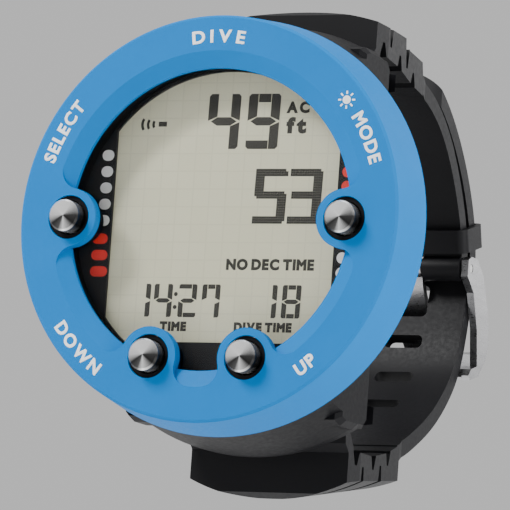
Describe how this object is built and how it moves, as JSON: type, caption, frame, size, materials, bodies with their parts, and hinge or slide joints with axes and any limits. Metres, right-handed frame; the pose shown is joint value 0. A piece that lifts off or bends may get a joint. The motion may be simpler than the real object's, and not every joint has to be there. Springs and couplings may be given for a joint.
{
  "type": "wrist dive computer",
  "caption": "Round wrist dive computer with a metal front ring, press buttons, segment display, rear battery lid and a buckled rubber strap closed in a loop.",
  "frame": {"origin": "centre of the flat battery lid area of the case back, where the wrist rests", "axes": "-Y out of the display, +Z towards twelve o'clock, +X towards three o'clock; the strap loop runs from +Y"},
  "size_m": [0.084, 0.121, 0.1002],
  "materials": {
    "bezel_blue": "satin blue moulded ring",
    "case_black": "fine-grained black case plastic",
    "lens_glass": "clear polished window",
    "bond_black": "black bonding strip",
    "mask_black": "dark grey display surround",
    "lcd": "beige-grey reflective liquid crystal glass",
    "white_plastic": "white light guide",
    "zebra_rubber": "striped elastomer connector",
    "board_green": "green solder mask",
    "chip_black": "moulded chip packages",
    "steel": "plain stainless steel",
    "brass": "plain brass sheet",
    "cell_steel": "bright coin cell can",
    "lid_black": "black lid plastic",
    "seal_rubber": "black O-ring rubber",
    "ring_grey": "grey glass-filled plastic",
    "strap_rubber": "soft matt black strap rubber",
    "buckle_silver": "satin silver",
    "button_chrome": "polished button metal"
  },
  "bodies": {
    "computer": {"bezel": "bezel_blue", "case_shell": "case_black", "case_back": "case_black", "lens": "lens_glass", "lens_bond": "bond_black", "display_mask": "mask_black", "lcd_panel": "lcd", "backlight_panel": "white_plastic", "zebra_connectors": "zebra_rubber", "circuit_board": "board_green", "processor_chips": "chip_black", "pressure_sensor": "steel", "piezo_beeper": "brass", "battery": "cell_steel", "battery_contacts": "brass", "battery_lid": "lid_black", "battery_lid_seal": "seal_rubber", "case_screws": "steel", "case_seal": "seal_rubber", "wet_contacts": "steel", "button_seals": "seal_rubber", "switch_domes": "steel", "spring_bar_top": "steel", "spring_bar_bottom": "steel", "strap_buckle_side": "strap_rubber", "strap_hole_side": "strap_rubber", "buckle_pin": "steel", "select_spring": "steel", "mode_spring": "steel", "down_spring": "steel", "up_spring": "steel"},
    "select_button": {"select_plunger": "button_chrome", "select_clip": "steel"},
    "mode_button": {"mode_plunger": "button_chrome", "mode_clip": "steel"},
    "down_button": {"down_plunger": "button_chrome", "down_clip": "steel"},
    "up_button": {"up_plunger": "button_chrome", "up_clip": "steel"},
    "lock_ring": {"lock_ring": "ring_grey"},
    "buckle_frame": {"buckle_frame": "buckle_silver"},
    "buckle_tongue": {"buckle_tongue": "buckle_silver"},
    "strap_keeper": {"strap_keeper": "strap_rubber"}
  },
  "joints": [
    {"name": "select_press", "type": "slide", "parent": "computer", "child": "select_button", "axis": [0, 1, 0], "range_m": [0, 0.0012], "stiffness_N_per_m": 1000, "springref_m": -0.0015, "deforming": ["select_spring"]},
    {"name": "mode_press", "type": "slide", "parent": "computer", "child": "mode_button", "axis": [0, 1, 0], "range_m": [0, 0.0012], "stiffness_N_per_m": 1000, "springref_m": -0.0015, "deforming": ["mode_spring"]},
    {"name": "down_press", "type": "slide", "parent": "computer", "child": "down_button", "axis": [0, 1, 0], "range_m": [0, 0.0012], "stiffness_N_per_m": 1000, "springref_m": -0.0015, "deforming": ["down_spring"]},
    {"name": "up_press", "type": "slide", "parent": "computer", "child": "up_button", "axis": [0, 1, 0], "range_m": [0, 0.0012], "stiffness_N_per_m": 1000, "springref_m": -0.0015, "deforming": ["up_spring"]},
    {"name": "lock_ring_turn", "type": "hinge", "parent": "computer", "child": "lock_ring", "pos_m": [0, -0.001, 0], "axis": [0, 1, 0], "range_deg": [0, 60]},
    {"name": "buckle_frame_swing", "type": "hinge", "parent": "computer", "child": "buckle_frame", "pos_m": [0, 0.0729, 0.0064], "axis": [1, 0, 0], "range_deg": [0, 6]},
    {"name": "buckle_tongue_swing", "type": "hinge", "parent": "buckle_frame", "child": "buckle_tongue", "pos_m": [0, 0.0729, 0.0064], "axis": [1, 0, 0], "range_deg": [0, 6]},
    {"name": "keeper_slide", "type": "slide", "parent": "computer", "child": "strap_keeper", "axis": [0, -0.3, 0.9539], "range_m": [0, 0.002]}
  ]
}
